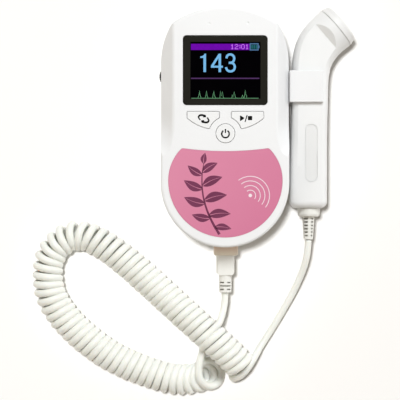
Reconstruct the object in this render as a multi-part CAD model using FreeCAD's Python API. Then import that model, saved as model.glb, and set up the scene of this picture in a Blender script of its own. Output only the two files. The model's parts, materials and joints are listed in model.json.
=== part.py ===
import FreeCAD, Part
import math
import os

V = FreeCAD.Vector
os.makedirs("parts", exist_ok=True)

# ---------------------------------------------------------------------------
# Hand-held fetal doppler monitor with a pencil probe on a coiled lead.
# Frame: origin on the resting plane under the middle of the main unit,
# +Z out of the display face, +Y towards the display end, +X towards the probe.
# Millimetres.
# ---------------------------------------------------------------------------

# main unit
HALF_W = 36.25          # half width of the case
Y_TOP = 68.0            # top of the case
Y_BOT = -67.7           # bottom of the case
CASE_T = 34.0           # case thickness
Z_SPLIT = 15.0          # parting plane of the two shells
WALL = 2.2              # shell wall
Y_ARC = Y_BOT + HALF_W  # centre of the round lower end
TOP_R = 53.3            # radius of the top edge
SHO_R = 39.7            # radius of the shoulders
SHO_Y = 37.0            # where the shoulders start
FRONT_R = 1.5           # rounding of the front edge
REAR_R = 2.8            # rounding of the rear edge
FLANK_X = 29.5          # edge between the flat face and the sloping flank
FLANK_DROP = 9.0        # how far the flank drops at the side wall
FLANK_BEND = 2.6        # rounding between the flat face and the flank
# how the flank's slope dies out towards the lower end: y, slope in degrees, x of the edge, height of the edge
FLANK_RUN = [(8.0, 53.13, 29.5, 34.0), (1.5, 50.0, 29.5, 34.0), (-4.0, 40.0, 29.7, 34.0), (-9.0, 24.0, 30.2, 34.0),
             (-13.5, 10.0, 30.9, 34.1), (-18.0, 3.0, 31.6, 34.5)]

# display
WIN = (-23.7, 23.85, 12.5, 51.7)       # window, x0 x1 y0 y1
WIN_R = 2.1
LIT = (-19.5, 19.9, 15.9, 48.1)        # active area
# keys
KEY_GAP = 0.25
KEY_TRAVEL = 0.5
PW_C = (0.17, -3.43)
PW_R = 5.3
ARC_R = 9.3
# battery compartment (two AA cells side by side)
CELL_R, CELL_L = 7.25, 50.5
CELL_Z = 10.5
CELL_Y = (-22.25, -37.35)
DOOR_X = 30.0
DOOR_Y = -14.2
DOOR_T = 2.4
# volume wheel
VW_C = (-31.0, 29.25)
VW_R = 6.3
VW_Z = (19.4, 22.0)
# headphone socket
HP_Y, HP_Z, HP_R, HP_L = 8.0, 21.0, 1.8, 13.0
# probe
ZP = 17.0
FLAT_H = 9.3
HEAD_ANG = 40.5
HEAD_R = 12.95
SEAM = (63.3, 57.26)
CAP_T = 5.6
# cord
CORD_D = 3.8
COIL_D = 17.9


def box(x0, x1, y0, y1, z0, z1):
    return Part.makeBox(x1 - x0, y1 - y0, z1 - z0, V(x0, y0, z0))


def cyl(x, y, z0, z1, r):
    return Part.makeCylinder(r, z1 - z0, V(x, y, z0), V(0, 0, 1))


def cyl_dir(p, d, length, r):
    return Part.makeCylinder(r, length, V(*p), V(*d))


def line(a, b):
    return Part.LineSegment(V(*a), V(*b)).toShape()


def arc(a, m, b):
    return Part.Arc(V(*a), V(*m), V(*b)).toShape()


def prism(edges, z0, z1):
    face = Part.Face(Part.Wire(Part.__sortEdges__(edges)))
    face.translate(V(0, 0, z0))
    return face.extrude(V(0, 0, z1 - z0))


def wire_prism(wire, z0, z1):
    w = wire.copy()
    w.translate(V(0, 0, z0 - wire.Vertexes[0].Z))
    return Part.Face(w).extrude(V(0, 0, z1 - z0))


def vertical_edges(s):
    out = []
    for e in s.Edges:
        v = e.Vertexes
        if len(v) == 2 and math.hypot(v[0].X - v[1].X, v[0].Y - v[1].Y) < 1e-5 and abs(v[0].Z - v[1].Z) > 1e-3:
            out.append(e)
    return out


def spread(e):
    """Lowest and highest corner of an edge, from points on it."""
    q = [e.valueAt(e.FirstParameter + (e.LastParameter - e.FirstParameter) * k / 8.0) for k in range(9)]
    return (V(min(a.x for a in q), min(a.y for a in q), min(a.z for a in q)),
            V(max(a.x for a in q), max(a.y for a in q), max(a.z for a in q)))


def pick(shape, x=None, y=None, z=None, lx=None, ly=None, lz=None, tol=1e-3):
    """Edges whose middle is at x, y or z and whose extent is at least lx, ly or lz (negative: at most)."""
    out = []
    for e in shape.Edges:
        a, b = spread(e)
        ok = True
        for want, lo, hi in ((x, a.x, b.x), (y, a.y, b.y), (z, a.z, b.z)):
            if want is not None and (abs(lo - want) > tol or abs(hi - want) > tol):
                ok = False
        for want, d in ((lx, b.x - a.x), (ly, b.y - a.y), (lz, b.z - a.z)):
            if want is not None and ((want >= 0 and d < want) or (want < 0 and d > -want)):
                ok = False
        if ok:
            out.append(e)
    return out


def rrect(x0, x1, y0, y1, r, z0, z1):
    b = box(x0, x1, y0, y1, z0, z1)
    if r > 0:
        b = b.makeFillet(r, vertical_edges(b))
    return b


def bottom_wire(solid):
    flat = [f for f in solid.Faces if isinstance(f.Surface, Part.Plane) and abs(f.Surface.Axis.z) > 0.999]
    zmin = min(f.CenterOfMass.z for f in flat)
    best = [f for f in flat if f.CenterOfMass.z < zmin + 1e-3]
    best.sort(key=lambda f: -f.Area)
    return best[0].OuterWire


def fillet_if(shape, r, edges):
    try:
        s = shape.makeFillet(r, edges)
        if s.isValid() and s.Volume > 0.5 * shape.Volume:
            return s
    except Exception as e:
        print("fillet left out:", e)
    return shape


def chamfer_if(shape, r, edges):
    try:
        s = shape.makeChamfer(r, edges)
        if s.isValid() and s.Volume > 0.5 * shape.Volume:
            return s
    except Exception as e:
        print("chamfer left out:", e)
    return shape


def fuse(a, *rest):
    s = a
    for r in rest:
        s = s.fuse(r)
    return s.removeSplitter()


def cut(a, *rest):
    s = a
    for r in rest:
        s = s.cut(r)
    return s


def top_edges(shape, z):
    return pick(shape, z=z)


PARTS = {}


def put(name, shape):
    if isinstance(shape, (list, tuple)):
        shape = Part.makeCompound(list(shape))
    PARTS[name] = shape
    shape.exportStep("parts/%s.step" % name)
    print("%-24s solids %d valid %s vol %9.1f  z %.2f..%.2f" % (
        name, len(shape.Solids), shape.isValid(), shape.Volume, shape.BoundBox.ZMin, shape.BoundBox.ZMax))


# ---------------------------------------------------------------------------
# Case outline
# ---------------------------------------------------------------------------
def on_circle(c, r, ang):
    return (c[0] + r * math.cos(ang), c[1] + r * math.sin(ang))


def case_prism(inset, z0, z1):
    """The case outline drawn in by inset, as a prism."""
    hw, tr, sr = HALF_W - inset, TOP_R - inset, SHO_R - inset
    tc = (0.0, Y_TOP - TOP_R)                       # centre of the top arc
    sc = (HALF_W - SHO_R, SHO_Y)                    # centre of the right shoulder arc
    dx, dy = tc[0] - sc[0], tc[1] - sc[1]
    dd = math.hypot(dx, dy)
    aa = (sr ** 2 - tr ** 2 + dd ** 2) / (2 * dd)
    hh = math.sqrt(sr ** 2 - aa ** 2)
    cand = [(sc[0] + aa * dx / dd - g * hh * dy / dd, sc[1] + aa * dy / dd + g * hh * dx / dd) for g in (1, -1)]
    cx, cy = max(cand, key=lambda q: q[1] if q[0] > 0 else -99)
    m = on_circle(sc, sr, math.atan2(cy - sc[1], cx - sc[0]) / 2)
    s = prism([
        arc((-hw, Y_ARC, 0), (0, Y_BOT + inset, 0), (hw, Y_ARC, 0)),
        line((hw, Y_ARC, 0), (hw, SHO_Y, 0)),
        arc((hw, SHO_Y, 0), (m[0], m[1], 0), (cx, cy, 0)),
        arc((cx, cy, 0), (0, Y_TOP - inset, 0), (-cx, cy, 0)),
        arc((-cx, cy, 0), (-m[0], m[1], 0), (-hw, SHO_Y, 0)),
        line((-hw, SHO_Y, 0), (-hw, Y_ARC, 0)),
    ], z0, z1)
    corner = [e for e in vertical_edges(s) if abs(abs(e.Vertexes[0].X) - cx) < 0.05 and abs(e.Vertexes[0].Y - cy) < 0.05]
    return s.makeFillet(6.0 - inset, corner)


outer = case_prism(0.0, 0.0, CASE_T)
outer = fillet_if(outer, FRONT_R, top_edges(outer, CASE_T))
outer = fillet_if(outer, REAR_R, top_edges(outer, 0.0))


def flank_cutter():
    """Region above the sloping flank of the left side; its slope dies out at the lower end."""
    wires = []
    for y, ang, x0, z0 in FLANK_RUN:
        th = math.radians(ang)
        a0 = math.radians(min(4.0, ang * 0.4))
        # a rounded edge that leaves the face at a shallow angle, then the slope
        t0 = FLANK_BEND * math.tan(th / 2)
        xs, zs = -x0 + t0, z0 + 0.03
        p = [(xs - FLANK_BEND * (math.sin(f) - math.sin(a0)), zs + FLANK_BEND * (math.cos(f) - math.cos(a0))) for f in (a0, (a0 + th) / 2, th)]
        far = -44.0
        zf = p[2][1] - math.tan(th) * (p[2][0] - far)
        q = [V(a, y, b) for a, b in p]
        wires.append(Part.Wire([Part.Arc(q[0], q[1], q[2]).toShape(), Part.LineSegment(q[2], V(far, y, zf)).toShape(),
                                Part.LineSegment(V(far, y, zf), V(far, y, 46)).toShape(), Part.LineSegment(V(far, y, 46), V(q[0].x, y, 46)).toShape(),
                                Part.LineSegment(V(q[0].x, y, 46), q[0]).toShape()]))
    return [Part.Face(wires[0]).extrude(V(0, 90, 0)), Part.makeLoft(wires, True, False, False)]


def flank_cutter_in():
    """The same region for the inside, one wall thickness further in."""
    wires = []
    for y, ang, x0, z0 in FLANK_RUN:
        th = math.radians(ang)
        far = -44.0
        down = WALL / math.cos(th)
        x1 = -x0 + 3.0
        z1, z2 = z0 - down + math.tan(th) * 3.0, z0 - down - math.tan(th) * (-x0 - far)
        q = [V(x1, y, z1), V(far, y, z2), V(far, y, 46), V(x1, y, 46)]
        q.append(q[0])
        wires.append(Part.makePolygon(q))
    return [Part.Face(wires[0]).extrude(V(0, 90, 0)), Part.makeLoft(wires, True, False, False)]


def mirror_x(s):
    return s.mirror(V(0, 0, 0), V(1, 0, 0))


for c in flank_cutter():
    outer = cut(outer, c, mirror_x(c))
cavity = case_prism(WALL, WALL + 0.2, CASE_T - WALL)
for c in flank_cutter_in():
    cavity = cut(cavity, c, mirror_x(c))
print("outer valid", outer.isValid(), outer.Volume, "cavity", cavity.isValid(), cavity.Volume)

# parting groove
groove = case_prism(-0.5, Z_SPLIT - 0.18, Z_SPLIT + 0.18).cut(case_prism(0.35, Z_SPLIT - 0.5, Z_SPLIT + 0.5))

# ---------------------------------------------------------------------------
# Keys
# ---------------------------------------------------------------------------
KEY_TOP = 8.85            # upper edge of the two side keys
KEY_IN = 3.2              # their inner edge
KEY_OUT = 21.35           # their outer edge
KEY_TIP = (-8.15, -0.95)  # their lower tip
KEY_LOW = (-15.1, 1.15)   # a point on the curved lower edge
KEY_SIDE = (-21.35, 5.2)  # where that edge ends


def circle3(p, q, r):
    """Centre and radius of the circle through three points."""
    ax, ay, bx, by, cx, cy = p[0], p[1], q[0], q[1], r[0], r[1]
    d = 2 * (ax * (by - cy) + bx * (cy - ay) + cx * (ay - by))
    ux = ((ax * ax + ay * ay) * (by - cy) + (bx * bx + by * by) * (cy - ay) + (cx * cx + cy * cy) * (ay - by)) / d
    uy = ((ax * ax + ay * ay) * (cx - bx) + (bx * bx + by * by) * (ax - cx) + (cx * cx + cy * cy) * (bx - ax)) / d
    return (ux, uy), math.hypot(ax - ux, ay - uy)


def side_key(grow, z0, z1):
    """Outline of the left key, grown by grow, as a prism."""
    lc, lr = circle3(KEY_TIP, KEY_LOW, KEY_SIDE)
    lr += grow
    ar = ARC_R - grow
    top, xi, xo = KEY_TOP + grow, -KEY_IN + grow, -KEY_OUT - grow
    yi = PW_C[1] + math.sqrt(ar ** 2 - (xi - PW_C[0]) ** 2)
    yo = lc[1] - math.sqrt(lr ** 2 - (xo - lc[0]) ** 2)
    # lower tip: where the arc about the power key meets the lower edge
    dx, dy = lc[0] - PW_C[0], lc[1] - PW_C[1]
    dd = math.hypot(dx, dy)
    aa = (ar ** 2 - lr ** 2 + dd ** 2) / (2 * dd)
    hh = math.sqrt(ar ** 2 - aa ** 2)
    c = [(PW_C[0] + aa * dx / dd - g * hh * dy / dd, PW_C[1] + aa * dy / dd + g * hh * dx / dd) for g in (1, -1)]
    tip = min(c, key=lambda q: math.hypot(q[0] - KEY_TIP[0], q[1] - KEY_TIP[1]))
    m1 = on_circle(PW_C, ar, (math.atan2(yi - PW_C[1], xi - PW_C[0]) + math.atan2(tip[1] - PW_C[1], tip[0] - PW_C[0])) / 2)
    m2x = (tip[0] + xo) / 2
    m2 = (m2x, lc[1] - math.sqrt(lr ** 2 - (m2x - lc[0]) ** 2))
    s = prism([
        line((xo, top, 0), (xi, top, 0)),
        line((xi, top, 0), (xi, yi, 0)),
        arc((xi, yi, 0), (m1[0], m1[1], 0), (tip[0], tip[1], 0)),
        arc((tip[0], tip[1], 0), (m2[0], m2[1], 0), (xo, yo, 0)),
        line((xo, yo, 0), (xo, top, 0)),
    ], z0, z1)
    return fillet_if(s, 0.7 + max(grow, 0) * 0.9, vertical_edges(s))


def mirror_key(s):
    return s.mirror(V(PW_C[0], 0, 0), V(1, 0, 0))


mode_cap = side_key(0.0, 30.8, CASE_T)
mode_cap = fillet_if(mode_cap, 0.25, top_edges(mode_cap, CASE_T))
mode_cap = mode_cap.fuse(side_key(1.0, 30.8, 31.5)).removeSplitter()
play_cap = mirror_key(mode_cap)
power_cap = cyl(PW_C[0], PW_C[1], 30.8, CASE_T, PW_R)
power_cap = fillet_if(power_cap, 0.25, top_edges(power_cap, CASE_T))
power_cap = power_cap.fuse(cyl(PW_C[0], PW_C[1], 30.8, 31.5, PW_R + 1.0)).removeSplitter()
hole_l = side_key(KEY_GAP, 25, 40)
key_holes = [hole_l, mirror_key(hole_l), cyl(PW_C[0], PW_C[1], 25, 40, PW_R + KEY_GAP)]

# ---------------------------------------------------------------------------
# Front panel plate (pink) and its recess
# ---------------------------------------------------------------------------
PC = 0.15                                 # the panel's middle
PR = 32.25                                # radius of its lower edge
PY = -29.9
SR = 25.2                                 # radius of its upper sides
TR, TY = 179.0, 165.6                     # radius and centre of its concave top edge


def panel_prism(inset, z0, z1):
    """The panel's outline, drawn in by inset, as a prism."""
    pr, sr, tr = PR - inset, SR - inset, TR + inset
    scx = PR - SR
    ylo, yhi = -20.0, -10.0
    for _ in range(60):
        ym = (ylo + yhi) / 2
        xm = scx + math.sqrt(sr ** 2 - (ym - PY) ** 2)
        if TY - math.sqrt(tr ** 2 - xm ** 2) > ym:
            ylo = ym
        else:
            yhi = ym
    yj = (ylo + yhi) / 2
    xj = scx + math.sqrt(sr ** 2 - (yj - PY) ** 2)
    ym = (PY + yj) / 2
    xm = scx + math.sqrt(sr ** 2 - (ym - PY) ** 2)
    s = prism([
        arc((PC - pr, PY, 0), (PC, PY - pr, 0), (PC + pr, PY, 0)),
        arc((PC + pr, PY, 0), (PC + xm, ym, 0), (PC + xj, yj, 0)),
        arc((PC + xj, yj, 0), (PC, TY - tr, 0), (PC - xj, yj, 0)),
        arc((PC - xj, yj, 0), (PC - xm, ym, 0), (PC - pr, PY, 0)),
    ], z0, z1)
    return fillet_if(s, 1.7, [e for e in vertical_edges(s) if abs(e.Vertexes[0].Y - yj) < 0.01])


panel_recess = panel_prism(0.0, CASE_T - 0.6, CASE_T + 2)
panel = panel_prism(0.08, CASE_T - 0.6, CASE_T - 0.12)

# ---------------------------------------------------------------------------
# Front shell
# ---------------------------------------------------------------------------
upper_half = box(-60, 60, -90, 90, Z_SPLIT, 60)
lower_half = box(-60, 60, -90, 90, -5, Z_SPLIT)
front = cut(outer, cavity).common(upper_half)
win_recess = rrect(WIN[0] - 0.15, WIN[1] + 0.15, WIN[2] - 0.15, WIN[3] + 0.15, WIN_R + 0.15, CASE_T - 1.7, 40)
win_open = rrect(LIT[0] - 0.8, LIT[1] + 0.8, LIT[2] - 0.8, LIT[3] + 0.8, 1.0, 20, 40)
front = cut(front, win_recess, win_open, panel_recess, *key_holes)

CASE_SCREWS = [(-27.3, 50.5), (27.3, 50.5), (-25.6, -49.6), (25.6, -49.6)]
solid_upper = outer.common(upper_half)
for (x, y) in CASE_SCREWS:
    boss = cyl(x, y, Z_SPLIT, CASE_T - 1.0, 2.9).common(solid_upper)
    front = front.fuse(boss)
for (x, y) in CASE_SCREWS:
    front = front.cut(cyl(x, y, Z_SPLIT - 1, 27.0, 1.15))
# rib that presses on the probe socket
front = front.fuse(box(0.4 - 6.6, 0.4 + 6.6, -60.0, -58.4, 19.6, CASE_T - 1.5).common(solid_upper))
# posts that carry the main board
BOARD_Z = (26.5, 28.1)
BOARD_SCREWS = [(-26.6, 40.0), (26.6, 40.0), (-26.6, -7.5), (26.6, -7.5)]
for (x, y) in BOARD_SCREWS:
    front = front.fuse(cyl(x, y, BOARD_Z[1], CASE_T - 1.5, 2.3).common(solid_upper))
for (x, y) in BOARD_SCREWS:
    front = front.cut(cyl(x, y, BOARD_Z[1] - 1, 31.0, 0.95))
# volume wheel slot, headphone opening, probe socket opening, clip window
slot_v = cyl(VW_C[0], VW_C[1], VW_Z[0] - 0.35, VW_Z[1] + 0.35, VW_R + 0.4)
hp_hole = cyl_dir((-45, HP_Y, HP_Z), (1, 0, 0), 12.6, 3.1)
sock_pocket = rrect(0.4 - 6.95, 0.4 + 7.45, -75, -66.2, 0, 9.7, 20.3)
sock_hole = box(0.4 - 4.7, 0.4 + 4.7, -70, -60, 12.3, 17.7)
CLIP_Y = (14.5, 32.4)
clip_win = box(30, 40, 17.7, 29.3, 10.7, 19.3)
front = cut(front, slot_v, hp_hole, sock_pocket, sock_hole, clip_win, groove)
# two small moulding dimples at the top of the face
for dxx, dyy in ((-8.9, 58.3), (12.8, 58.7)):
    front = front.cut(Part.makeSphere(1.4, V(dxx, dyy, CASE_T + 1.12)))
put("front_cover", front)

# ---------------------------------------------------------------------------
# Rear shell with battery tray, door opening and speaker grille
# ---------------------------------------------------------------------------
rear = cut(outer, cavity).common(lower_half)
door_zone = box(-DOOR_X - 0.2, DOOR_X + 0.2, -90, -14.0, -1, 2.7)
rear = rear.cut(door_zone)
TRAY = (-30.4, 30.4, -46.4, -13.2)
inner_low = case_prism(WALL - 0.1, 2.7, 4.2)
shelf = inner_low.common(box(-60, 60, -90, TRAY[3], 2, 5))
tray = box(TRAY[0], TRAY[1], TRAY[2], TRAY[3], 2.7, 19.4)
rear = fuse(rear, shelf, tray.common(case_prism(0.5, 0, 30)))
rear = rear.cut(box(-29.2, 29.2, -45.2, -14.4, 2.0, 18.2))
# curved saddles under the cells keep the two cells apart
rib = box(-22, 22, -30.3, -29.3, 14.5, 18.2)
rear = rear.fuse(rib)
for (x, y) in CASE_SCREWS:
    z0 = 2.3 if y > 0 else 2.7
    rear = rear.fuse(cyl(x, y, z0, Z_SPLIT, 3.4).common(case_prism(0.5, 0, 30)))
for (x, y) in CASE_SCREWS:
    rear = rear.cut(cyl(x, y, -1, 7.0, 2.5))
    rear = rear.cut(cyl(x, y, -1, Z_SPLIT + 1, 1.35))
# rib under the probe socket
rear = rear.fuse(box(0.4 - 6.6, 0.4 + 6.6, -60.0, -58.4, 3.0, 10.4))
# grooves for the door's side tongues
for s in (1, -1):
    g = box(DOOR_X, DOOR_X + 1.4, -60, -14.0, 0.7, 1.7)
    rear = rear.cut(g if s > 0 else mirror_x(g))
# speaker grille
SPK = (0.0, 32.0)
for i in range(-3, 4):
    yy = SPK[1] + i * 4.2
    ww = math.sqrt(max(14.5 ** 2 - (yy - SPK[1]) ** 2, 0.0))
    rear = rear.cut(rrect(SPK[0] - ww, SPK[0] + ww, yy - 0.9, yy + 0.9, 0.85, -1, 6))
# ring that centres the speaker
ring = cyl(SPK[0], SPK[1], 2.2, 6.2, 19.8).cut(cyl(SPK[0], SPK[1], 2.0, 7, 18.5))
rear = rear.fuse(ring)
rear = cut(rear, clip_win, sock_pocket, sock_hole, groove)
put("rear_cover", rear)

# battery door
door = outer.common(box(-DOOR_X, DOOR_X, -90, DOOR_Y, -1, DOOR_T))
tongue = box(DOOR_X - 0.2, DOOR_X + 1.1, -46, -16, 0.95, 1.45)
door = fuse(door, tongue, mirror_x(tongue))
for i in range(4):
    yy = -19.5 - i * 2.4
    door = door.cut(rrect(-9 + i * 1.4, 9 - i * 1.4, yy - 0.5, yy + 0.5, 0.45, -1, 0.5))
put("battery_door", door)

# ---------------------------------------------------------------------------
# Front face pieces
# ---------------------------------------------------------------------------
window = rrect(WIN[0], WIN[1], WIN[2], WIN[3], WIN_R, CASE_T - 1.7, CASE_T - 0.12)
window = fillet_if(window, 0.2, top_edges(window, CASE_T - 0.12))
put("display_window", window)
module = rrect(-22.8, 23.0, 13.4, 50.9, 0.5, 28.1, 31.6)
module = module.fuse(rrect(LIT[0], LIT[1], LIT[2], LIT[3], 0.3, 31.6, 31.9))
put("display_module", module)
put("front_panel", panel)
put("mode_button", mode_cap)
put("play_stop_button", play_cap)
put("power_button", power_cap)

SW = {"mode": (-12.6, 4.9), "play_stop": (12.9, 4.9), "power": PW_C}
housings = []
for n, (x, y) in SW.items():
    h = rrect(x - 3, x + 3, y - 3, y + 3, 0.4, BOARD_Z[1], BOARD_Z[1] + 1.8)
    h = h.cut(cyl(x, y, BOARD_Z[1] + 0.1, 31, 1.70))
    housings.append(h)
    put("switch_plunger_" + n, cyl(x, y, 28.8, 30.8, 1.65))
put("tact_switches", housings)

# ---------------------------------------------------------------------------
# Electronics
# ---------------------------------------------------------------------------
board = rrect(-30.2, 30.2, -11.0, 45.5, 1.5, BOARD_Z[0], BOARD_Z[1])
board = board.fuse(rrect(-22.5, 22.5, 40.0, 56.0, 1.0, BOARD_Z[0], BOARD_Z[1])).removeSplitter()
for (x, y) in BOARD_SCREWS:
    board = board.cut(cyl(x, y, 20, 40, 1.25))
put("main_board", board)
chips = [rrect(-14, -2, 18, 30, 0.4, BOARD_Z[0] - 1.6, BOARD_Z[0]),
         rrect(4, 20, 14, 34, 0.6, BOARD_Z[0] - 2.4, BOARD_Z[0]),
         rrect(-20, -14, 0, 5, 0.3, BOARD_Z[0] - 1.5, BOARD_Z[0]),
         cyl(-8, 4, BOARD_Z[0] - 6.0, BOARD_Z[0], 3.1),
         cyl(0, 4, BOARD_Z[0] - 6.0, BOARD_Z[0], 3.1),
         rrect(8, 18, -6, 2, 0.4, BOARD_Z[0] - 4.5, BOARD_Z[0])]
put("board_components", chips)
bscrew = []
for (x, y) in BOARD_SCREWS:
    s = cyl(x, y, BOARD_Z[0] - 1.3, BOARD_Z[0], 1.9).fuse(cyl(x, y, BOARD_Z[0] - 0.1, 30.6, 0.9)).removeSplitter()
    s = s.cut(box(x - 1.3, x + 1.3, y - 0.25, y + 0.25, BOARD_Z[0] - 2, BOARD_Z[0] - 0.8))
    s = s.cut(box(x - 0.25, x + 0.25, y - 1.3, y + 1.3, BOARD_Z[0] - 2, BOARD_Z[0] - 0.8))
    bscrew.append(s)
put("board_screws", bscrew)
cscrew = []
for (x, y) in CASE_SCREWS:
    s = cyl(x, y, 4.9, 7.0, 2.2).fuse(cyl(x, y, 6.9, 24.0, 1.1)).removeSplitter()
    s = s.cut(box(x - 1.5, x + 1.5, y - 0.3, y + 0.3, 4, 5.9))
    s = s.cut(box(x - 0.3, x + 0.3, y - 1.5, y + 1.5, 4, 5.9))
    cscrew.append(s)
put("case_screws", cscrew)

# volume wheel on its rotary control
wheel = cyl(VW_C[0], VW_C[1], VW_Z[0], VW_Z[1], VW_R)
wheel = chamfer_if(wheel, 0.3, pick(wheel, z=VW_Z[0]) + pick(wheel, z=VW_Z[1]))
for i in range(36):
    a = i * 2 * math.pi / 36
    wheel = wheel.cut(cyl(VW_C[0] + (VW_R + 0.12) * math.cos(a), VW_C[1] + (VW_R + 0.12) * math.sin(a), VW_Z[0] - 1, VW_Z[1] + 1, 0.3))
wheel = wheel.fuse(cyl(VW_C[0], VW_C[1], 16.4, VW_Z[0] + 0.1, 1.5)).removeSplitter()
wheel = wheel.cut(box(VW_C[0] - 1.2, VW_C[0] + 1.2, VW_C[1] - 0.25, VW_C[1] + 0.25, VW_Z[1] - 0.5, VW_Z[1] + 1))
put("volume_wheel", wheel)
pot = rrect(-33.75, -22.8, VW_C[1] - 4.6, VW_C[1] + 4.6, 0.6, 15.9, 19.0)
pot = pot.cut(cyl(VW_C[0], VW_C[1], 16.1, 25, 1.55))
for k in (-1, 0, 1):
    pot = pot.fuse(box(-23.8, -23.3, VW_C[1] + k * 2.5 - 0.4, VW_C[1] + k * 2.5 + 0.4, 18.9, BOARD_Z[0]))
put("volume_control", pot.removeSplitter())

# headphone socket
jack = rrect(-33.6, -33.6 + HP_L - 2.4, HP_Y - 3.4, HP_Y + 3.4, 0.3, HP_Z - 3.2, HP_Z + 3.2)
jack = jack.fuse(cyl_dir((-36.05, HP_Y, HP_Z), (1, 0, 0), 2.6, 2.95)).removeSplitter()
jack = jack.cut(cyl_dir((-40, HP_Y, HP_Z), (1, 0, 0), 40 - 36.05 + HP_L - 1.2, HP_R))
for k in (-1, 1):
    jack = jack.fuse(box(-28 + k * 2 - 0.3, -28 + k * 2 + 0.3, HP_Y - 0.5, HP_Y + 0.5, HP_Z + 3.1, BOARD_Z[0]))
put("headphone_socket", jack.removeSplitter())

# speaker and its gasket
gasket = cyl(SPK[0], SPK[1], WALL + 0.2, WALL + 1.2, 18.0).cut(cyl(SPK[0], SPK[1], 2, 4, 15.8))
put("speaker_gasket", gasket)
prof = [V(0, 0, 4.6), V(5.0, 0, 4.6), V(14.6, 0, 3.9), V(15.0, 0, 3.4), V(18.0, 0, 3.4), V(18.0, 0, 4.6), V(15.2, 0, 5.0), V(11.0, 0, 8.0),
        V(9.5, 0, 8.0), V(9.5, 0, 12.0), V(0, 0, 12.0), V(0, 0, 4.6)]
spk = Part.Face(Part.makePolygon(prof)).revolve(V(0, 0, 0), V(0, 0, 1), 360)
spk.translate(V(SPK[0], SPK[1], 0))
put("speaker", spk)

# cells and contacts
cells = []
for i, y in enumerate(CELL_Y):
    c = cyl_dir((-24.25, y, CELL_Z), (1, 0, 0), 48.5, CELL_R)
    c = fillet_if(c, 0.6, pick(c, x=-24.25) + pick(c, x=24.25))
    x0 = 24.2 if i == 0 else -24.2
    nub = cyl_dir((x0, y, CELL_Z), (1 if i == 0 else -1, 0, 0), 1.35, 2.6)
    cells.append(c.fuse(nub).removeSplitter())
put("battery_cells", cells)
plates = []
for i, y in enumerate(CELL_Y):
    s = 1 if i == 0 else -1
    pl = box(28.5, 28.9, y - 5.2, y + 5.2, 5.0, 16.5)
    bump = cyl_dir((25.65, y, CELL_Z), (1, 0, 0), 3.0, 2.4)
    pl = pl.fuse(bump).removeSplitter()
    if s < 0:
        pl = mirror_x(pl)
    plates.append(pl)
link_pl = [box(28.5, 28.9, CELL_Y[1] - 5.2, CELL_Y[1] + 5.2, 5.0, 16.5), mirror_x(box(28.5, 28.9, CELL_Y[0] - 5.2, CELL_Y[0] + 5.2, 5.0, 16.5))]
put("battery_contacts", plates + link_pl)


def spring(x0, x1, y, z, r0, r1, wire_r, turns):
    """Conical contact spring along X, as rings joined by a strip."""
    out = None
    for k in range(turns):
        f = (k + 0.5) / turns
        x = x0 + (x1 - x0) * f
        r = r0 + (r1 - r0) * f
        t = Part.makeTorus(r, wire_r, V(x, y, z), V(1, 0, 0))
        out = t if out is None else out.fuse(t)
    a, b = min(x0, x1), max(x0, x1)
    rod = cyl_dir((a, y, z + (r0 + r1) / 2), (1, 0, 0), b - a, wire_r)
    return out.fuse(rod)


springs = [spring(28.4, 24.6, CELL_Y[1], CELL_Z, 4.4, 3.4, 0.4, 4), spring(-28.4, -24.6, CELL_Y[0], CELL_Z, 4.4, 3.4, 0.4, 4)]
put("battery_springs", springs)

# probe socket in the lower end
sock = box(0.4 - 6.6, 0.4 + 6.6, -64.6, -53.0, 10.4, 19.6)
sock = sock.cut(box(0.4 - 4.45, 0.4 + 4.45, -66, -57.4, 12.55, 17.45))
sock = sock.fuse(box(0.4 - 3.0, 0.4 + 3.0, -57.5, -50.5, 16.4, 17.0)).removeSplitter()
put("probe_socket", sock)

# ---------------------------------------------------------------------------
# Probe clip on the right flank of the case
# ---------------------------------------------------------------------------
cf = rrect(36.8, 55.8, CLIP_Y[0], CLIP_Y[1], 0, 26.65, 29.0)
cb = box(36.6, 55.8, CLIP_Y[0], CLIP_Y[1], 4.3, 6.65)
cw = box(36.6, 38.0, CLIP_Y[0], CLIP_Y[1], 4.3, 29.0)
clip = fuse(cf, cb, cw)
es = pick(clip, z=29.0, ly=17.0) + pick(clip, z=4.3, ly=17.0)
clip = fillet_if(clip, 0.9, es)
es = pick(clip, z=29.0, ly=-0.01, lx=10.0)
clip = fillet_if(clip, 0.5, es)
neck = box(33.9, 36.7, 18.0, 29.0, 11.0, 19.0)
flange = box(32.7, 33.95, 16.4, 30.6, 9.4, 20.6)
clip = fuse(clip, neck, flange)
put("probe_clip", clip)

# ---------------------------------------------------------------------------
# Probe: a flattened handle that bends into a round head
# ---------------------------------------------------------------------------
# section ends in plan (left, right), half height, squareness
SECT = [
    ((36.95, -45.54), (58.40, -45.54), 9.75, 4.0),
    ((36.98, -40.4), (58.40, -40.4), 9.75, 4.0),
    ((37.30, -20.9), (58.40, -20.9), 9.75, 4.0),
    ((37.65, -3.7), (58.50, -3.7), 9.75, 4.0),
    ((38.00, 10.6), (58.75, 9.6), 9.75, 4.0),
    ((38.20, 23.2), (58.95, 18.6), 9.8, 3.9),
    ((38.45, 34.6), (59.35, 27.7), 10.0, 3.7),
    ((39.40, 43.4), (60.40, 34.0), 10.4, 3.3),
    ((41.60, 50.8), (62.1, 37.9), 11.0, 2.9),
    ((45.30, 57.2), (64.5, 41.3), 11.7, 2.5),
    ((50.10, 62.5), (67.9, 44.6), 12.4, 2.15),
    ((54.90, 67.15), (71.65, 47.45), 12.85, 2.0),
]
NP = 32


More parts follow.
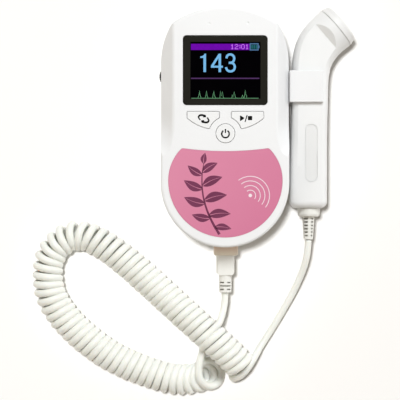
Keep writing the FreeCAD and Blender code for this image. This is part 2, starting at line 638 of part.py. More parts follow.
def section(a, b, hz, n, inset=0.0, y_shift=None):
    ax, ay = a
    bx, by = b
    cx, cy = (ax + bx) / 2, (ay + by) / 2
    w = math.hypot(bx - ax, by - ay) / 2
    ex, ey = (bx - ax) / (2 * w), (by - ay) / (2 * w)
    w -= inset
    h = hz - inset
    pts = []
    for k in range(NP):
        t = 2 * math.pi * k / NP - math.pi / 2
        c, s = math.cos(t), math.sin(t)
        r = 1.0 / ((abs(c) / w) ** n + (abs(s) / h) ** n) ** (1.0 / n)
        pts.append(V(cx + ex * r * c, cy + ey * r * c, ZP + r * s))
    cur = Part.BSplineCurve()
    par = [k / float(NP) for k in range(NP + 1)]
    cur.interpolate(Points=pts, PeriodicFlag=True, Parameters=par)
    return Part.Wire(cur.toShape())


body = Part.makeLoft([section(*s) for s in SECT], True, False, False)
body = fillet_if(body, 3.8, pick(body, y=-45.54))
inner_sect = []
for i, s in enumerate(SECT):
    a, b, hz, n = s
    if i == 0:
        a, b = (a[0], -43.0), (b[0], -43.0)
    inner_sect.append(section(a, b, hz, n, 2.0))
ua = math.radians(HEAD_ANG)
U = (math.cos(ua), math.sin(ua), 0.0)
# carry the inner space on through the open end
a, b, hz, n = SECT[-1]
a2, b2 = (a[0] + U[0] * 3, a[1] + U[1] * 3), (b[0] + U[0] * 3, b[1] + U[1] * 3)
inner_sect.append(section(a2, b2, hz, n, 2.0))
hollow = Part.makeLoft(inner_sect, True, False, False)
print("probe body", body.isValid(), body.Volume, "hollow", hollow.isValid(), hollow.Volume)

# flat front with a sloping step up to the head
ch = (57.79, 51.34)                      # middle of the step's foot
step_ang = math.radians(40.0)
zf = ZP + FLAT_H


def flat_cutter(drop):
    rise = 6.0
    q = [(-140.0, zf - drop), (-drop * 0.4, zf - drop), (rise / math.tan(step_ang) - drop * 0.4, zf - drop + rise), (rise / math.tan(step_ang) - drop * 0.4, 40.0), (-140.0, 40.0)]
    wv = V(-U[1], U[0], 0)
    pp = [V(ch[0] + U[0] * u - wv.x * 45, ch[1] + U[1] * u - wv.y * 45, z) for u, z in q]
    pp.append(pp[0])
    return Part.Face(Part.makePolygon(pp)).extrude(wv * 90)


body = body.cut(flat_cutter(0.0))
hollow = hollow.cut(flat_cutter(1.8))
shell = body.cut(hollow)
# hole for the collar's spigot
COL_X = 48.1
shell = shell.cut(cyl_dir((COL_X, -50, ZP), (0, 1, 0), 12, 4.05))
# recess of the label
LAB = (45.55, 52.5, -30.8, 2.15)
lab = rrect(LAB[0], LAB[1], LAB[2], LAB[3], 3.45, zf - 0.45, zf + 3)
shell = shell.cut(lab)
label = rrect(LAB[0] + 0.22, LAB[1] - 0.22, LAB[2] + 0.22, LAB[3] - 0.22, 3.23, zf - 0.45, zf - 0.05)
pf = shell.common(box(20, 100, -80, 110, ZP, 60))
pr = shell.common(box(20, 100, -80, 110, -20, ZP))
# posts for the probe's board
print("shell halves", pf.isValid(), pr.isValid())
for (x, y) in ((48.6, 24.0), (48.3, -34.0)):
    pf = pf.fuse(cyl(x, y, ZP + 0.65, zf - 1.0, 2.2))
    pr = pr.fuse(cyl(x, y, ZP - 8.6, ZP - 0.65, 2.2))
print("with posts", pf.isValid(), pr.isValid())
put("probe_front_shell", pf)
put("probe_rear_shell", pr)
put("probe_label", label)

# head cap: an acoustic face with a skirt that enters the shells
sx, sy = SEAM
ax0 = V(sx, sy, ZP)


def head_revolve(profile):
    """Revolve (r, h) pairs about the head's axis, h measured from the seam."""
    pts = [V(r, 0, h) for r, h in profile]
    pts.append(pts[0])
    s = Part.Face(Part.makePolygon(pts)).revolve(V(0, 0, 0), V(0, 0, 1), 360)
    s.rotate(V(0, 0, 0), V(0, 1, 0), 90)
    s.rotate(V(0, 0, 0), V(0, 0, 1), HEAD_ANG)
    s.translate(ax0)
    return s


dome = 0.6
outp = []
N = 10
for k in range(N + 1):                      # slightly domed face
    r = 10.35 * k / N
    outp.append((r, CAP_T - dome * (r / 10.35) ** 2))
for k in range(1, 9):                       # rounded rim
    t = math.pi / 2 * k / 8
    outp.append((10.35 + 1.9 * math.sin(t), CAP_T - dome - 1.9 * (1 - math.cos(t))))
cap_poly = outp + [(12.85, 0.75), (12.85, 0.35), (12.3, 0.35), (12.3, 0.05), (10.2, 0.05), (10.2, -3.0), (9.0, -3.0), (9.0, 3.2), (0, 3.2)]
cap = head_revolve(cap_poly)
put("probe_cap", cap)
seal = head_revolve([(10.2, -1.9), (10.2, -0.9), (10.5, -0.9), (10.5, -1.9)])
half_disc = head_revolve([(0, 2.2), (8.9, 2.2), (8.9, 3.2), (0, 3.2)])
# the crystal pair: two half discs, transmit and receive
wv = V(-U[1], U[0], 0)
gap_box = Part.makeBox(40, 0.5, 40, V(-20, -0.25, -20))
gap_box.rotate(V(0, 0, 0), V(0, 0, 1), HEAD_ANG)
gap_box.translate(ax0)
crystals = half_disc.cut(gap_box)
put("transducer_crystals", crystals)
backing = head_revolve([(0, -3.0), (8.9, -3.0), (8.9, 2.2), (0, 2.2)])
put("transducer_backing", backing)
put("head_seal", seal)

# probe electronics
pb = rrect(42.2, 54.6, -38.0, 30.0, 1.0, ZP - 0.6, ZP + 0.6)
pb = pb.cut(box(40, 44.6, 12, 40, 10, 25))
put("probe_board", pb)
pchips = [rrect(45.5, 51.5, -12, -4, 0.3, ZP + 0.6, ZP + 2.2), rrect(46, 51, 4, 12, 0.3, ZP + 0.6, ZP + 3.8), cyl(48.5, -22, ZP + 0.6, ZP + 5.4, 2.5)]
put("probe_board_components", pchips)

# collar and strain relief of the probe
yb = -45.54
col = Part.Face(Part.makePolygon([V(0, 0, 0), V(6.35, 0, 0), V(6.35, 0, 3.5), V(5.95, 0, 4.45), V(5.2, 0, 4.85), V(0, 0, 4.85), V(0, 0, 0)])).revolve(V(0, 0, 0), V(0, 0, 1), 360)
spig = Part.makeCylinder(3.95, 6.5, V(0, 0, -6.5), V(0, 0, 1))
col = col.fuse(spig).removeSplitter()
col.rotate(V(0, 0, 0), V(1, 0, 0), 90)
col.translate(V(COL_X, yb - 0.08, ZP))
put("probe_collar", col)


def relief(x, y0, z, length, r0, r1, rows, w, floor_z, cols):
    """Tapered sleeve along -Y with rows of slots on its upper and lower face; cols are the slots' x ranges in each row."""
    c = Part.makeCone(r0, r1, length, V(x, y0, z), V(0, -1, 0))
    for yy, col in zip(rows, cols):
        for a, b in col:
            c = c.cut(rrect(x + a, x + b, yy - w / 2, yy + w / 2, 0.3, z + floor_z, z + 8))
            c = c.cut(rrect(x + a, x + b, yy - w / 2, yy + w / 2, 0.3, z - 8, z - floor_z))
    return c


ry0 = yb - 0.08 - 4.85
rcols = []
for k in range(6):
    f = 1.0 - 0.035 * k
    rcols.append([(-2.70 * f, -0.45), (1.50 * f, 2.66 * f)])
rel = relief(COL_X - 0.2, ry0, ZP, 63.46 + ry0, 3.5, 2.7, [-51.6, -53.5, -55.5, -57.35, -59.25, -61.3], 1.0, 0.6, rcols)
put("probe_strain_relief", rel)

# ---------------------------------------------------------------------------
# Plug in the lower end of the unit
# ---------------------------------------------------------------------------
PXC, PZ = 0.4, 15.0
sh = rrect(PXC - 6.7, PXC + 7.2, -72.7, -66.3, 0, 10.0, 20.0)
sh = fillet_if(sh, 1.2, pick(sh, y=-72.7) + pick(sh, ly=6.3))
pb_ = box(PXC - 5.15, PXC + 5.15, -84.0, -72.6, 11.0, 19.0)
pb_ = chamfer_if(pb_, 0.9, pick(pb_, ly=11.0))
pb_ = chamfer_if(pb_, 1.4, pick(pb_, y=-84.0, lz=5.0))
plug = sh.fuse(pb_).removeSplitter()
put("plug_body", plug)
shell_p = box(PXC - 4.2, PXC + 4.2, -66.3, -58.0, 12.8, 17.2)
shell_p = fillet_if(shell_p, 0.6, pick(shell_p, ly=8.0))
shell_p = shell_p.cut(box(PXC - 3.8, PXC + 3.8, -65.0, -57, 13.2, 16.8))
put("plug_shell", shell_p)
tongue_p = box(PXC - 3.0, PXC + 3.0, -65.0, -59.0, 14.3, 15.4)
put("plug_tongue", tongue_p)
rel2 = relief(PXC, -84.0, PZ, 9.9, 3.6, 3.55, [-88.2, -90.1, -92.15], 0.8, 0.6, [[(-3.1, -0.75), (1.05, 2.9)], [(-3.1, 2.95)], [(-3.1, -0.85), (0.95, 2.85)]])
rel2 = fillet_if(rel2, 0.3, pick(rel2, y=-93.9))
put("plug_strain_relief", rel2)


# ---------------------------------------------------------------------------
# Cord: straight runs joined by tangent arcs
# ---------------------------------------------------------------------------
def route(pts):
    P = [V(*p) for p in pts]
    edges, prev, radii = [], P[0], []
    for i in range(1, len(P) - 1):
        a, b, c = P[i - 1], P[i], P[i + 1]
        d1, d2 = (b - a), (c - b)
        l1, l2 = d1.Length, d2.Length
        d1 = d1 * (1 / l1)
        d2 = d2 * (1 / l2)
        turn = d1.getAngle(d2)
        t = 0.45 * min(l1, l2)
        r = t / math.tan(turn / 2)
        radii.append(r)
        s, e = b - d1 * t, b + d2 * t
        n = (d2 - d1)
        n = n * (1 / n.Length)
        m = b + n * (r / math.cos(turn / 2) - r)
        edges.append(Part.LineSegment(prev, s).toShape())
        edges.append(Part.Arc(s, m, e).toShape())
        prev = e
    edges.append(Part.LineSegment(prev, P[-1]).toShape())
    return Part.Wire(edges), radii


def tube(name, pts, d):
    w, radii = route(pts)
    P = [V(*p) for p in pts]
    d0 = P[1] - P[0]
    prof = Part.Wire(Part.makeCircle(d / 2, P[0], d0))
    s = w.makePipeShell([prof], True, False)
    runs = [(P[i + 1] - P[i]).Length for i in range(len(P) - 1)]
    ratio = s.Volume / (math.pi * d * d / 4 * w.Length)
    print(name, "length %.1f" % w.Length, "radii", ["%.1f" % r for r in radii], "runs", ["%.1f" % r for r in runs], "volume ratio %.4f" % ratio)
    put(name, s)
    return s


PLUG_LEAD = [(0.25, -93.9, 15.0), (0.25, -98.4, 15.0), (-0.7, -104.1, 15.8), (-2.3, -109.5, 17.9), (-4.4, -114.4, 20.2)]
COIL_LONG = [(-8.5, -119.3, 13.9), (-19.5, -109.7, 12.8), (-34.2, -96.3, 10.1), (-52.2, -79.7, 9.1), (-72.9, -63.9, 9.1), (-87.9, -59.9, 9.1),
             (-101.1, -70.7, 9.1), (-102.5, -89.0, 9.1), (-97.8, -102.5, 9.1), (-84.1, -118.1, 9.1), (-64.6, -132.2, 9.1), (-41.6, -141.5, 9.1),
             (-23.6, -144.1, 9.1), (-10.8, -142.0, 9.6)]
COIL_SHORT = [(-8.5, -119.3, 13.9), (-0.5, -126.28, 14.7), (9.4, -136.3, 12.4)]
PROBE_LEAD = [(47.9, -63.75, 17.0), (47.6, -71.5, 16.2), (45.3, -80.8, 13.2), (40.6, -92.4, 9.4), (33.6, -105.2, 7.4), (26.0, -117.6, 7.4), (19.9, -126.8, 9.2), (14.6, -133.6, 12.6)]
t1 = tube("cord_plug_lead", PLUG_LEAD, CORD_D)
t2 = tube("cord_coil_long", COIL_LONG, COIL_D)
t3 = tube("cord_coil_short", COIL_SHORT, COIL_D)
t4 = tube("cord_probe_lead", PROBE_LEAD, CORD_D)

total = sum(s.Volume for s in PARTS.values())
print("nodes", len(PARTS), "volume", round(total))
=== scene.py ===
import json
import math

import bmesh  # noqa: E402
import bpy  # noqa: E402
import numpy as np  # noqa: E402
from mathutils import Matrix, Vector  # noqa: E402


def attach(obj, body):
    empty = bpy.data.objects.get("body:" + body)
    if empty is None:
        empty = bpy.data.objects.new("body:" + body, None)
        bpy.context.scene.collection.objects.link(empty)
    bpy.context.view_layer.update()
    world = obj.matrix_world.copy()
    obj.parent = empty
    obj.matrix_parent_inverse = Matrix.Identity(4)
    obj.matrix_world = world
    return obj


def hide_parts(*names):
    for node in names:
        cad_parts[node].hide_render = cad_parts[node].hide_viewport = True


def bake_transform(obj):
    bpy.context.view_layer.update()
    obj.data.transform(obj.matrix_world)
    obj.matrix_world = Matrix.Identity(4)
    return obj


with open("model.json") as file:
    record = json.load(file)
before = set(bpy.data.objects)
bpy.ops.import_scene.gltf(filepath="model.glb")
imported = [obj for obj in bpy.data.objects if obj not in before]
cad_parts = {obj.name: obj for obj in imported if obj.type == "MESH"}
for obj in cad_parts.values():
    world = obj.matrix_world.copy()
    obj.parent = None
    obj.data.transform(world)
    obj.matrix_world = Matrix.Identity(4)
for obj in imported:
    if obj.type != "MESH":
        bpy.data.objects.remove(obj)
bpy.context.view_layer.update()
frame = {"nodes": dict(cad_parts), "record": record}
NODES = frame["nodes"]
MM = 0.001
SCENE = bpy.context.scene


# ---------------------------------------------------------------------------
# Camera: straight down from 1 m
# ---------------------------------------------------------------------------
cam_data = bpy.data.cameras.new("camera")
cam_data.type = "PERSP"
cam_data.sensor_width = 36.0
cam_data.lens = 154.5
cam_data.clip_start = 0.05
cam_data.clip_end = 20.0
cam = bpy.data.objects.new("camera", cam_data)
cam.location = (-0.014125, -0.04096, 1.0)
SCENE.collection.objects.link(cam)
SCENE.camera = cam


# ---------------------------------------------------------------------------
# Cord
# ---------------------------------------------------------------------------
LEAD_R = 1.9      # straight leads
CORD_R = 2.18     # coiled stretch
HELIX_R = 6.9
# the routes of part.py, in metres
PLUG_LEAD = [(0.00025, -0.0939, 0.0150), (0.00025, -0.0984, 0.0150), (-0.0007, -0.1041, 0.0158), (-0.0023, -0.1095, 0.0179), (-0.0044, -0.1144, 0.0202)]
COIL_LONG = [(-0.0085, -0.1193, 0.0139), (-0.0195, -0.1097, 0.0128), (-0.0342, -0.0963, 0.0101), (-0.0522, -0.0797, 0.0091), (-0.0729, -0.0639, 0.0091),
             (-0.0879, -0.0599, 0.0091), (-0.1011, -0.0707, 0.0091), (-0.1025, -0.0890, 0.0091), (-0.0978, -0.1025, 0.0091), (-0.0841, -0.1181, 0.0091),
             (-0.0646, -0.1322, 0.0091), (-0.0416, -0.1415, 0.0091), (-0.0236, -0.1441, 0.0091), (-0.0108, -0.1420, 0.0096)]
COIL_SHORT = [(-0.0085, -0.1193, 0.0139), (-0.0005, -0.12628, 0.0147), (0.0094, -0.1363, 0.0124)]
PROBE_LEAD = [(0.0479, -0.06375, 0.0170), (0.0476, -0.0715, 0.0162), (0.0453, -0.0808, 0.0132), (0.0406, -0.0924, 0.0094), (0.0336, -0.1052, 0.0074),
              (0.0260, -0.1176, 0.0074), (0.0199, -0.1268, 0.0092), (0.0146, -0.1336, 0.0126)]


def nurbs_line(pts):
    """Points on the NURBS spline through these control points, in mm."""
    cu = bpy.data.curves.new("route", "CURVE")
    cu.dimensions = "3D"
    cu.resolution_u = 24
    sp = cu.splines.new("NURBS")
    sp.points.add(len(pts) - 1)
    for q, p in zip(sp.points, pts):
        q.co = (p[0], p[1], p[2], 1.0)
    sp.order_u = 3
    sp.use_endpoint_u = True
    ob = bpy.data.objects.new("route", cu)
    SCENE.collection.objects.link(ob)
    bpy.context.view_layer.update()
    me = bpy.data.meshes.new_from_object(ob)
    co = np.array([v.co[:] for v in me.vertices], float) * 1000.0
    bpy.data.objects.remove(ob)
    bpy.data.meshes.remove(me)
    bpy.data.curves.remove(cu)
    keep = np.concatenate([[True], np.linalg.norm(np.diff(co, axis=0), axis=1) > 1e-6])
    return co[keep]


class Axis:
    """A line read by its arc length, carried on straight past its ends."""

    def __init__(self, co):
        self.co = co
        self.s = np.concatenate([[0.0], np.cumsum(np.linalg.norm(np.diff(co, axis=0), axis=1))])
        t = np.gradient(co, self.s, axis=0)
        for _ in range(6):
            t[1:-1] = (t[:-2] + t[1:-1] * 2 + t[2:]) / 4
        self.t = t / np.linalg.norm(t, axis=1)[:, None]
        self.length = self.s[-1]

    def at(self, s):
        c = np.array([np.interp(s, self.s, self.co[:, i]) for i in range(3)])
        t = np.array([np.interp(s, self.s, self.t[:, i]) for i in range(3)])
        t /= np.linalg.norm(t)
        if s > self.length:
            c = c + t * (s - self.length)
        if s < 0:
            c = c + t * s
        return c, t


def hermite(table, x):
    """A smooth rising curve through (x, y) pairs."""
    kx = np.array([a for a, b in table], float)
    ky = np.array([b for a, b in table], float)
    h = np.diff(kx)
    dl = np.diff(ky) / h
    m = np.zeros(len(kx))
    m[0], m[-1] = dl[0], dl[-1]
    for i in range(1, len(kx) - 1):
        m[i] = (dl[i - 1] * h[i] + dl[i] * h[i - 1]) / (h[i] + h[i - 1])
    if x <= kx[0]:
        return ky[0] + m[0] * (x - kx[0])
    if x >= kx[-1]:
        return ky[-1] + m[-1] * (x - kx[-1])
    i = int(np.searchsorted(kx, x)) - 1
    t = (x - kx[i]) / h[i]
    return (ky[i] * (1 + 2 * t) * (1 - t) ** 2 + m[i] * h[i] * t * (1 - t) ** 2
            + ky[i + 1] * t * t * (3 - 2 * t) + m[i + 1] * h[i] * t * t * (t - 1))


def wobble(u, seed):
    """A small smooth unevenness from turn to turn, from -1 to 1."""
    return (math.sin(u * 1.7 + seed) + 0.6 * math.sin(u * 0.61 + 2.3 * seed) + 0.4 * math.sin(u * 3.9 + seed * 5.1)) / 2.0


Z = np.array([0.0, 0.0, 1.0])


def turn_point(axis, table, u, radius=HELIX_R, lean=0.0, loose=0.09, seed=0.0):
    """Point on a left-handed helix: u counts turns, and a whole number is a strand on top."""
    s = hermite(table, u)
    c, t = axis.at(s)
    left = np.cross(Z, t)
    left /= np.linalg.norm(left)
    up = np.cross(t, left)
    a = up * math.cos(lean) - t * math.sin(lean)
    r = radius + loose * wobble(u, seed)
    f = 2 * math.pi * u
    p = c + a * r * math.cos(f) + left * r * math.sin(f) + t * 0.13 * wobble(u, seed + 3.0)
    return p


axis_long = Axis(nurbs_line(COIL_LONG))
axis_short = Axis(nurbs_line(COIL_SHORT))
line_plug = nurbs_line(PLUG_LEAD)
line_probe = nurbs_line(PROBE_LEAD)[::-1]

# turn number against the distance along the axis, mm
TURNS_LONG = [(0, 1.8), (4, 19.2), (8, 36.1), (13, 57.3), (17, 75.7), (20, 90.9), (23, 106.2), (26, 120.7), (30, 139.0), (34, 156.7),
              (40, 182.5), (46, 208.3)]
# where each of the last strands on top lies, by its x, mm
TOPS = [(48, -41.66), (49, -37.64), (50, -33.63), (51, -29.78), (52, -25.94), (53, -22.21), (54, -18.77), (55, -16.2), (56, -14.7)]
tail = axis_long.s > 170.0
for n, x in TOPS:
    TURNS_LONG.append((n, float(np.interp(x, axis_long.co[tail, 0], axis_long.s[tail]))))
TURNS_SHORT = [(-0.25, 0.9), (0, 2.0), (3, 14.6), (5, 23.1), (6, 27.2)]
# the coil's radius along its turns, a little less where it bends
SPREAD = [(0, HELIX_R), (14, HELIX_R), (19, 6.6), (27, 6.6), (32, HELIX_R), (47, HELIX_R)]
# towards its end the coil leans over: its strands on top lag behind by LEAN, and those beneath run ahead
LEAN = [(47.0, 0.0), (48.0, 0.1), (50.0, 0.8), (51.0, 1.7), (52.0, 2.7), (53.0, 3.9), (53.5, 4.9), (54.5, 5.7), (55.5, 6.9), (56.0, 6.9)]
HALF = [(47.0, HELIX_R), (52.0, 6.85), (54.0, 6.7), (55.0, 6.8), (55.5, 7.4), (56.0, 7.6)]
RISE = [(47.0, HELIX_R), (50.0, 6.8), (52.0, 6.2), (53.0, 5.5), (54.0, 4.7), (55.0, 4.35), (55.5, 4.6), (56.0, 5.3)]
DRIFT = [(47.0, 0.0), (54.4, 0.0), (55.2, 1.0), (55.75, 0.7), (56.0, 1.6)]

path = []
rad = []
# straight lead at the plug, into the first strand on top of the coil
for i, q in enumerate(line_plug[:-10]):
    path.append(q)
    rad.append(LEAD_R)
u = 0.06
STEP = 1 / 28.0
while u < 56.001:
    s = hermite(TURNS_LONG, u)
    c, t = axis_long.at(s)
    if u < 47.0:
        p = turn_point(axis_long, TURNS_LONG, u, radius=hermite(SPREAD, u), seed=0.7)
        # where the coil bends tightly its inner strands crowd, so that every other one slips a little outwards,
        # and the outer ends of its strands hang back
        c2, t2 = axis_long.at(s + 3.0)
        c1, t1 = axis_long.at(s - 3.0)
        bend = math.acos(max(-1.0, min(1.0, float(t1 @ t2)))) / 6.0
        side = math.sin(2 * math.pi * u)
        gap = 4.9 * (1 - bend * HELIX_R)
        tight = max(0.0, min(1.0, (4.2 - gap) / 1.4))
        left = np.cross(Z, t)
        p = p + left * tight * max(0.0, side) ** 2 * (0.35 if int(u + 0.5) % 2 else -0.35) - t * 0.9 * tight * max(0.0, -side) ** 2
    else:
        f = 2 * math.pi * u
        left = np.cross(Z, t)
        left /= np.linalg.norm(left)
        flat = np.cross(left, Z)
        lean, half, rise, drift = (hermite(k, u) for k in (LEAN, HALF, RISE, DRIFT))
        p = np.array([c[0], c[1], CORD_R + 0.08]) + flat * lean * (1 - math.cos(f)) + left * (half * math.sin(f)) + Z * rise * (1 + math.cos(f))
        p = p + np.array([0.0, drift, 0.0]) + flat * 0.2 * wobble(u, 3.7)
    path.append(p)
    rad.append(CORD_R + 0.06 * min(1.0, max(0.0, (u - 51.5) / 1.5)) if u > 0.5 else LEAD_R + (CORD_R - LEAD_R) * u / 0.5)
    u += STEP
# the strand from the coil's open end up into the side of its second stretch
for q in [(-14.8, -138.0, 12.9), (-14.4, -134.6, 12.7), (-13.5, -131.2, 11.8), (-12.7, -128.5, 11.1), (-12.5, -126.6, 11.5), (-12.35, -125.5, 12.6), (-12.25, -125.15, 14.0)]:
    path.append(np.array(q, float))
    rad.append(CORD_R)
u = -0.22
while u < 5.42:
    path.append(turn_point(axis_short, TURNS_SHORT, u, seed=1.9, loose=0.08))
    rad.append(CORD_R)
    u += STEP
for q, r in zip([(6.9, -138.6, 5.0), (4.6, -142.0, 6.3), (5.2, -143.8, 9.2), (8.7, -142.3, 12.2), (12.85, -138.0, 13.8), (16.9, -132.0, 12.2)],
                (2.18, 2.18, 2.16, 2.11, 2.04, 1.97)):
    path.append(np.array(q, float))
    rad.append(r)
d = np.linalg.norm(line_probe[:, :2] - np.array([20.6, -125.6]), axis=1)
start = int(np.argmin(d))
for q in line_probe[start:]:
    path.append(q)
    rad.append(LEAD_R)
path = np.array(path)
rad = np.array(rad)


def resample(co, rad, step, smooth=0):
    """Even steps along a smooth curve through the points, and the radius at each."""
    s = np.concatenate([[0.0], np.cumsum(np.sqrt(np.linalg.norm(np.diff(co, axis=0), axis=1)))])
    dd = np.gradient(co, s, axis=0)
    out = []
    width = []
    for i in range(len(co) - 1):
        h = s[i + 1] - s[i]
        n = max(2, int(np.linalg.norm(co[i + 1] - co[i]) / (step / 4)) + 1)
        for k in range(n):
            t = k / n
            out.append(co[i] * (1 + 2 * t) * (1 - t) ** 2 + dd[i] * h * t * (1 - t) ** 2 + co[i + 1] * t * t * (3 - 2 * t) + dd[i + 1] * h * t * t * (t - 1))
            width.append(rad[i] * (1 - t) + rad[i + 1] * t)
    out.append(co[-1])
    width.append(rad[-1])
    out = np.array(out)
    width = np.array(width)
    for _ in range(smooth):
        out[1:-1] = (out[:-2] + out[1:-1] * 2 + out[2:]) / 4
    s = np.concatenate([[0.0], np.cumsum(np.linalg.norm(np.diff(out, axis=0), axis=1))])
    n = int(s[-1] / step)
    t = np.linspace(0, s[-1], n + 1)
    return np.stack([np.interp(t, s, out[:, i]) for i in range(3)], 1), np.interp(t, s, width)


def sweep(name, co, radius, sides=16):
    """A closed tube along the points, with frames that don't twist."""
    t = np.gradient(co, axis=0)
    t /= np.linalg.norm(t, axis=1)[:, None]
    n = np.cross(t[0], [0.3, 0.2, 1.0])
    n /= np.linalg.norm(n)
    rings = []
    for i in range(len(co)):
        n = n - t[i] * (n @ t[i])
        n /= np.linalg.norm(n)
        b = np.cross(t[i], n)
        a = np.arange(sides) * 2 * math.pi / sides
        rings.append(co[i] + radius[i] * (np.cos(a)[:, None] * n + np.sin(a)[:, None] * b))
    v = np.concatenate(rings) * MM
    faces = []
    for i in range(len(co) - 1):
        for k in range(sides):
            k2 = (k + 1) % sides
            faces.append((i * sides + k, i * sides + k2, (i + 1) * sides + k2, (i + 1) * sides + k))
    faces.append(tuple(range(sides))[::-1])
    faces.append(tuple((len(co) - 1) * sides + k for k in range(sides)))
    me = bpy.data.meshes.new(name)
    me.from_pydata([tuple(p) for p in v], [], faces)
    me.update()
    # the layout runs along the cord and round it, in cord lengths
    dist = np.concatenate([[0.0], np.cumsum(np.linalg.norm(np.diff(co, axis=0), axis=1))]) * MM
    uv = me.uv_layers.new(name="along")
    for f in me.polygons:
        f.use_smooth = len(f.vertices) == 4
        for k, li in enumerate(f.loop_indices):
            vi = me.loops[li].vertex_index
            ring, side = divmod(vi, sides)
            turn = side / sides
            if len(f.vertices) == 4 and side == 0 and k in (1, 2):
                turn = 1.0
            uv.data[li].uv = (dist[ring], turn)
    ob = bpy.data.objects.new(name, me)
    SCENE.collection.objects.link(ob)
    return ob


line, width = resample(path, rad, 0.85, smooth=8)
for _ in range(40):
    width[1:-1] = (width[:-2] + width[1:-1] * 2 + width[2:]) / 4
line[:, 2] = np.maximum(line[:, 2], width + 0.05)
cord_length = float(np.linalg.norm(np.diff(line, axis=0), axis=1).sum())
cord = sweep("cord", line, width)
cord["length_mm"] = round(cord_length, 1)
print("cord length mm", round(cord_length, 1), "points", len(line))


# ---------------------------------------------------------------------------
# Materials
# ---------------------------------------------------------------------------
def new_material(name):
    m = bpy.data.materials.new(name)
    m.use_nodes = True
    nt = m.node_tree
    nt.nodes.clear()
    out = nt.nodes.new("ShaderNodeOutputMaterial")
    bsdf = nt.nodes.new("ShaderNodeBsdfPrincipled")
    nt.links.new(bsdf.outputs[0], out.inputs[0])
    return m, nt, bsdf


def noise(nt, scale, detail=3.0, rough=0.5, vec=None):
    n = nt.nodes.new("ShaderNodeTexNoise")
    n.inputs["Scale"].default_value = scale
    n.inputs["Detail"].default_value = detail
    n.inputs["Roughness"].default_value = rough
    if vec is not None:
        nt.links.new(vec, n.inputs["Vector"])
    return n


def ramp(nt, fac, stops):
    r = nt.nodes.new("ShaderNodeValToRGB")
    r.color_ramp.elements[0].position = stops[0][0]
    r.color_ramp.elements[0].color = (*stops[0][1], 1)
    r.color_ramp.elements[1].position = stops[-1][0]
    r.color_ramp.elements[1].color = (*stops[-1][1], 1)
    for pos, col in stops[1:-1]:
        e = r.color_ramp.elements.new(pos)
        e.color = (*col, 1)
    nt.links.new(fac, r.inputs[0])
    return r


def rough_range(nt, fac, lo, hi):
    m = nt.nodes.new("ShaderNodeMapRange")
    m.inputs["From Min"].default_value = 0.3
    m.inputs["From Max"].default_value = 0.7
    m.inputs["To Min"].default_value = lo
    m.inputs["To Max"].default_value = hi
    nt.links.new(fac, m.inputs["Value"])
    return m


def coords(nt):
    return nt.nodes.new("ShaderNodeTexCoord").outputs["Object"]


def plastic(name, dark, light, rough=(0.28, 0.36), grain=1800.0, bump=0.04, broad=22.0, coat=0.0, spec=0.5, metallic=0.0, sss=0.0):
    """Moulded plastic: a faint cloudiness in its colour, a fine moulding grain and uneven gloss."""
    m, nt, b = new_material(name)
    v = coords(nt)
    big = noise(nt, broad, 3.0, 0.55, v)
    r = ramp(nt, big.outputs["Fac"], [(0.3, dark), (0.7, light)])
    nt.links.new(r.outputs[0], b.inputs["Base Color"])
    mid = noise(nt, broad * 7, 4.0, 0.6, v)
    rr = rough_range(nt, mid.outputs["Fac"], rough[0], rough[1])
    nt.links.new(rr.outputs[0], b.inputs["Roughness"])
    fine = noise(nt, grain, 2.0, 0.5, v)
    bp = nt.nodes.new("ShaderNodeBump")
    bp.inputs["Strength"].default_value = bump
    bp.inputs["Distance"].default_value = 0.0002
    nt.links.new(fine.outputs["Fac"], bp.inputs["Height"])
    nt.links.new(bp.outputs[0], b.inputs["Normal"])
    b.inputs["Specular IOR Level"].default_value = spec
    b.inputs["Metallic"].default_value = metallic
    if coat:
        b.inputs["Coat Weight"].default_value = coat
        b.inputs["Coat Roughness"].default_value = 0.08
    if sss:
        b.inputs["Subsurface Weight"].default_value = sss
        b.inputs["Subsurface Radius"].default_value = (1.0, 0.8, 0.6)
        b.inputs["Subsurface Scale"].default_value = 0.0015
    return m


def emissive(name, color, strength, base=(0.0, 0.0, 0.0)):
    """A lit part of the display: faint rows of picture elements over an even colour."""
    m, nt, b = new_material(name)
    v = coords(nt)
    n = noise(nt, 900.0, 1.0, 0.5, v)
    r = ramp(nt, n.outputs["Fac"], [(0.25, tuple(c * 0.86 for c in color)), (0.75, color)])
    nt.links.new(r.outputs[0], b.inputs["Emission Color"])
    b.inputs["Emission Strength"].default_value = strength
    b.inputs["Base Color"].default_value = (*base, 1)
    b.inputs["Roughness"].default_value = 0.05
    b.inputs["Specular IOR Level"].default_value = 0.02
    return m


M = {}
M["case_white"] = plastic("case_white", (0.752, 0.757, 0.763), (0.776, 0.781, 0.787), (0.40, 0.48), 2200.0, 0.03, spec=0.4)
M["key_white"] = plastic("key_white", (0.745, 0.75, 0.75), (0.77, 0.775, 0.775), (0.40, 0.48), 2600.0, 0.03, spec=0.4)
M["probe_white"] = plastic("probe_white", (0.745, 0.75, 0.748), (0.77, 0.775, 0.773), (0.38, 0.46), 2200.0, 0.03, spec=0.4)
M["cap_white"] = plastic("cap_white", (0.705, 0.705, 0.695), (0.73, 0.73, 0.72), (0.38, 0.48), 2600.0, 0.02, spec=0.4)
M["label_white"] = plastic("label_white", (0.70, 0.705, 0.70), (0.725, 0.73, 0.725), (0.34, 0.42), 3000.0, 0.02, spec=0.4)
M["cord_white"] = plastic("cord_white", (0.805, 0.815, 0.766), (0.835, 0.845, 0.800), (0.38, 0.50), 1500.0, 0.05, 30.0, spec=0.4, sss=0.15)
M["window_black"] = plastic("window_black", (0.0125, 0.0125, 0.0098), (0.0145, 0.0145, 0.0115), (0.03, 0.05), 400.0, 0.002, 60.0, spec=0.30)
M["display"] = plastic("display", (0.0004, 0.0003, 0.0006), (0.0009, 0.0007, 0.0012), (0.04, 0.06), 600.0, 0.002, 60.0, spec=0.01)
